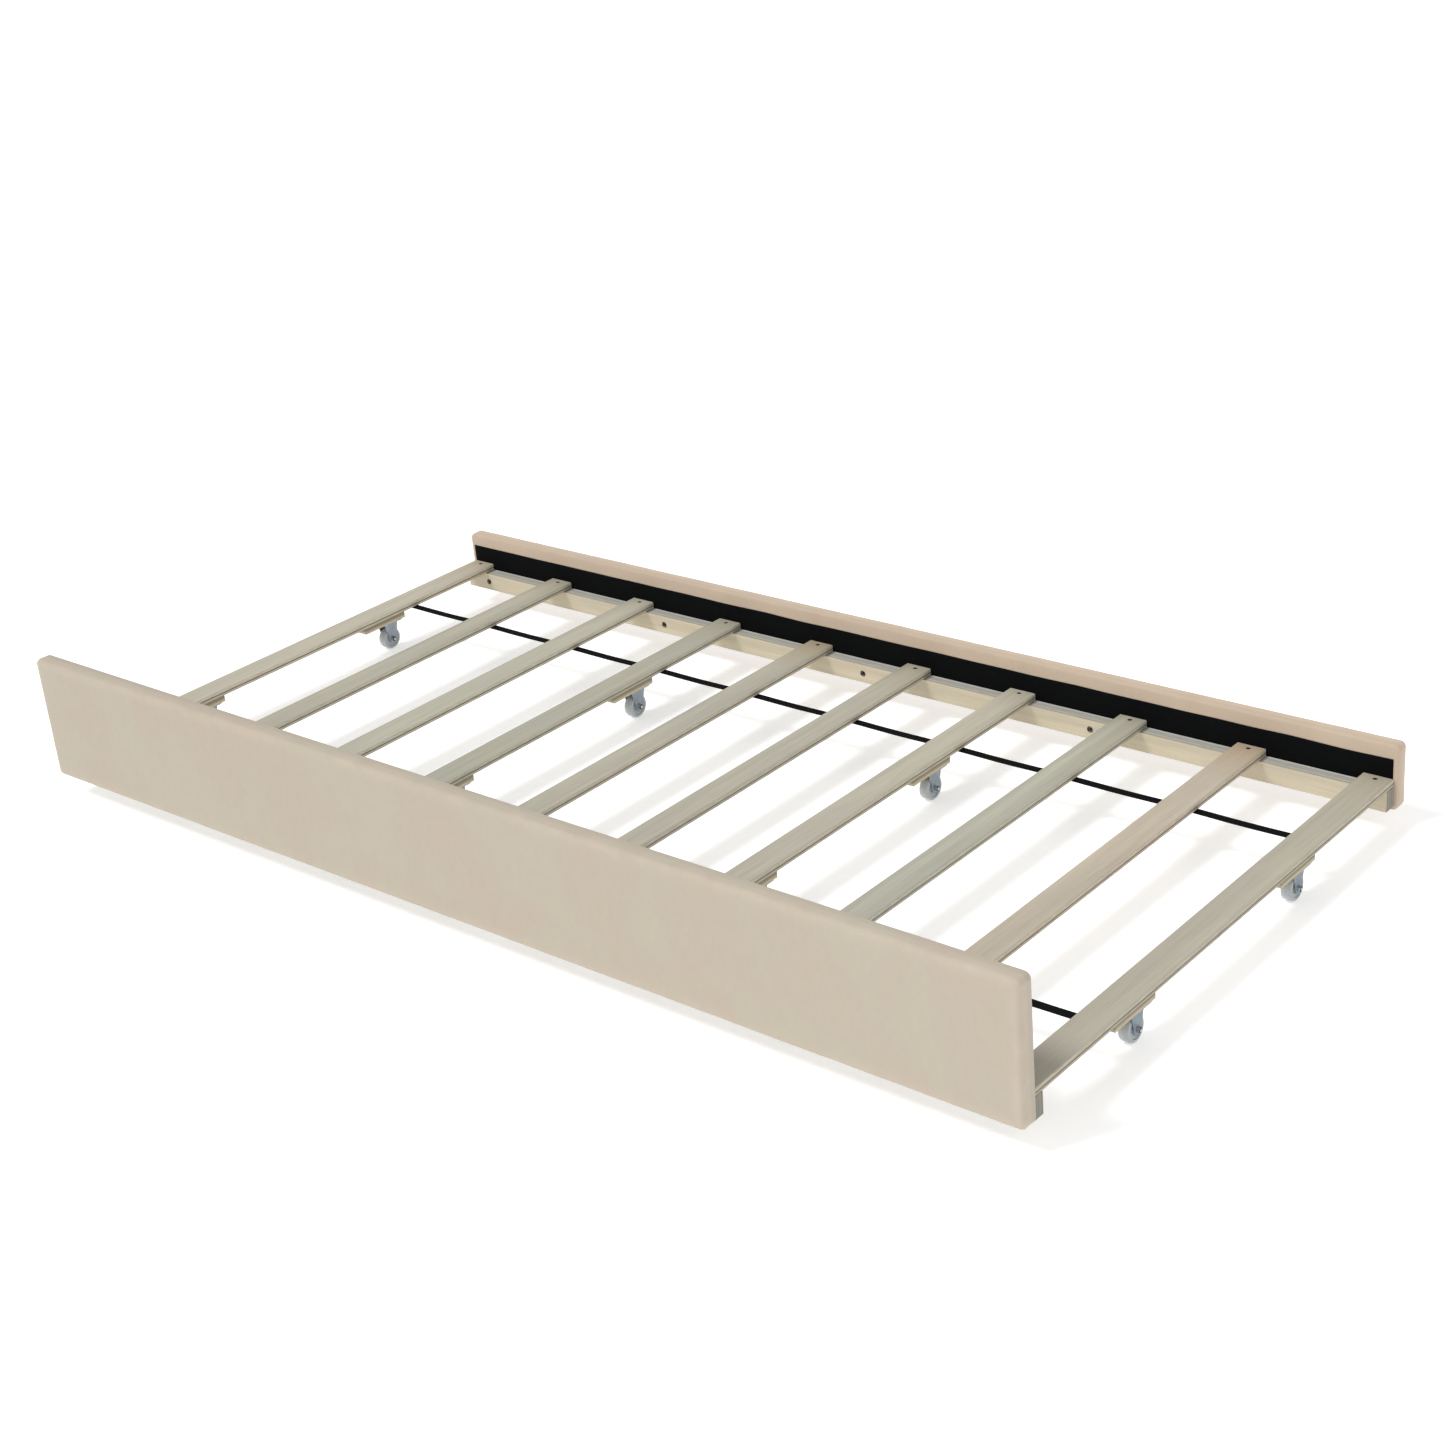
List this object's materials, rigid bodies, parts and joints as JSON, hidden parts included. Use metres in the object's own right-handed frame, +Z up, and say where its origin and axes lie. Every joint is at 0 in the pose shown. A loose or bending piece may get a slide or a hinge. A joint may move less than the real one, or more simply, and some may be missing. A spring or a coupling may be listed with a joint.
{
  "type": "trundle bed",
  "caption": "Low rolling trundle bed: tall upholstered front panel, low rear panel, ledger rails, flat plywood slats, webbing straps and fixed casters.",
  "frame": {"origin": "on the floor under the middle of the bed", "axes": "+X along the bed, +Y from the tall front panel to the low rear panel, +Z up"},
  "size_m": [1.89, 1, 0.244],
  "materials": {
    "velvet": "short-pile beige velvet, soft sheen",
    "lining": "thin black non-woven dust cloth",
    "foam": "open-cell foam pad, hidden",
    "board": "particle board core, hidden",
    "rail_plywood": "pale laminated veneer, unfinished",
    "slat_plywood": "pale laminated veneer, lightly sealed",
    "block_plywood": "plywood with visible layers",
    "webbing": "woven black strap",
    "zinc_plate": "dull zinc plating",
    "bright_steel": "bright zinc plating",
    "dark_steel": "dark oxide",
    "wheel_nylon": "milky white nylon"
  },
  "bodies": {
    "frame": {"front_board": "board", "front_foam": "foam", "front_cover": "velvet", "front_lining": "lining", "front_rail": "rail_plywood", "rear_board": "board", "rear_foam": "foam", "rear_cover": "velvet", "rear_lining": "lining", "rear_rail": "rail_plywood", "slat_01": "slat_plywood", "slat_02": "slat_plywood", "slat_03": "slat_plywood", "slat_04": "slat_plywood", "slat_05": "slat_plywood", "slat_06": "slat_plywood", "slat_07": "slat_plywood", "slat_08": "slat_plywood", "slat_09": "slat_plywood", "slat_10": "slat_plywood", "front_strap": "webbing", "rear_strap": "webbing", "front_block_1": "block_plywood", "front_fork_1": "zinc_plate", "front_block_2": "block_plywood", "front_fork_2": "zinc_plate", "front_block_3": "block_plywood", "front_fork_3": "zinc_plate", "front_block_4": "block_plywood", "front_fork_4": "zinc_plate", "rear_block_1": "block_plywood", "rear_fork_1": "zinc_plate", "rear_block_2": "block_plywood", "rear_fork_2": "zinc_plate", "rear_block_3": "block_plywood", "rear_fork_3": "zinc_plate", "rear_block_4": "block_plywood", "rear_fork_4": "zinc_plate", "slat_screws": "dark_steel", "rail_bolts": "dark_steel", "rail_washers": "zinc_plate", "rail_inserts": "zinc_plate", "block_screws": "bright_steel", "caster_screws": "bright_steel", "axle_bolts": "bright_steel", "axle_nuts": "bright_steel", "axle_sleeves": "bright_steel", "strap_staples": "bright_steel"},
    "front_wheel_1": {"front_wheel_1": "wheel_nylon"},
    "front_wheel_2": {"front_wheel_2": "wheel_nylon"},
    "front_wheel_3": {"front_wheel_3": "wheel_nylon"},
    "front_wheel_4": {"front_wheel_4": "wheel_nylon"},
    "rear_wheel_1": {"rear_wheel_1": "wheel_nylon"},
    "rear_wheel_2": {"rear_wheel_2": "wheel_nylon"},
    "rear_wheel_3": {"rear_wheel_3": "wheel_nylon"},
    "rear_wheel_4": {"rear_wheel_4": "wheel_nylon"}
  },
  "joints": [
    {"name": "front_wheel_1_spin", "type": "hinge", "parent": "frame", "child": "front_wheel_1", "pos_m": [-0.915, -0.2125, 0.02], "axis": [1, 0, 0], "continuous": true},
    {"name": "front_wheel_2_spin", "type": "hinge", "parent": "frame", "child": "front_wheel_2", "pos_m": [-0.305, -0.2125, 0.02], "axis": [1, 0, 0], "continuous": true},
    {"name": "front_wheel_3_spin", "type": "hinge", "parent": "frame", "child": "front_wheel_3", "pos_m": [0.305, -0.2125, 0.02], "axis": [1, 0, 0], "continuous": true},
    {"name": "front_wheel_4_spin", "type": "hinge", "parent": "frame", "child": "front_wheel_4", "pos_m": [0.915, -0.2125, 0.02], "axis": [1, 0, 0], "continuous": true},
    {"name": "rear_wheel_1_spin", "type": "hinge", "parent": "frame", "child": "rear_wheel_1", "pos_m": [-0.915, 0.2125, 0.02], "axis": [1, 0, 0], "continuous": true},
    {"name": "rear_wheel_2_spin", "type": "hinge", "parent": "frame", "child": "rear_wheel_2", "pos_m": [-0.305, 0.2125, 0.02], "axis": [1, 0, 0], "continuous": true},
    {"name": "rear_wheel_3_spin", "type": "hinge", "parent": "frame", "child": "rear_wheel_3", "pos_m": [0.305, 0.2125, 0.02], "axis": [1, 0, 0], "continuous": true},
    {"name": "rear_wheel_4_spin", "type": "hinge", "parent": "frame", "child": "rear_wheel_4", "pos_m": [0.915, 0.2125, 0.02], "axis": [1, 0, 0], "continuous": true}
  ]
}
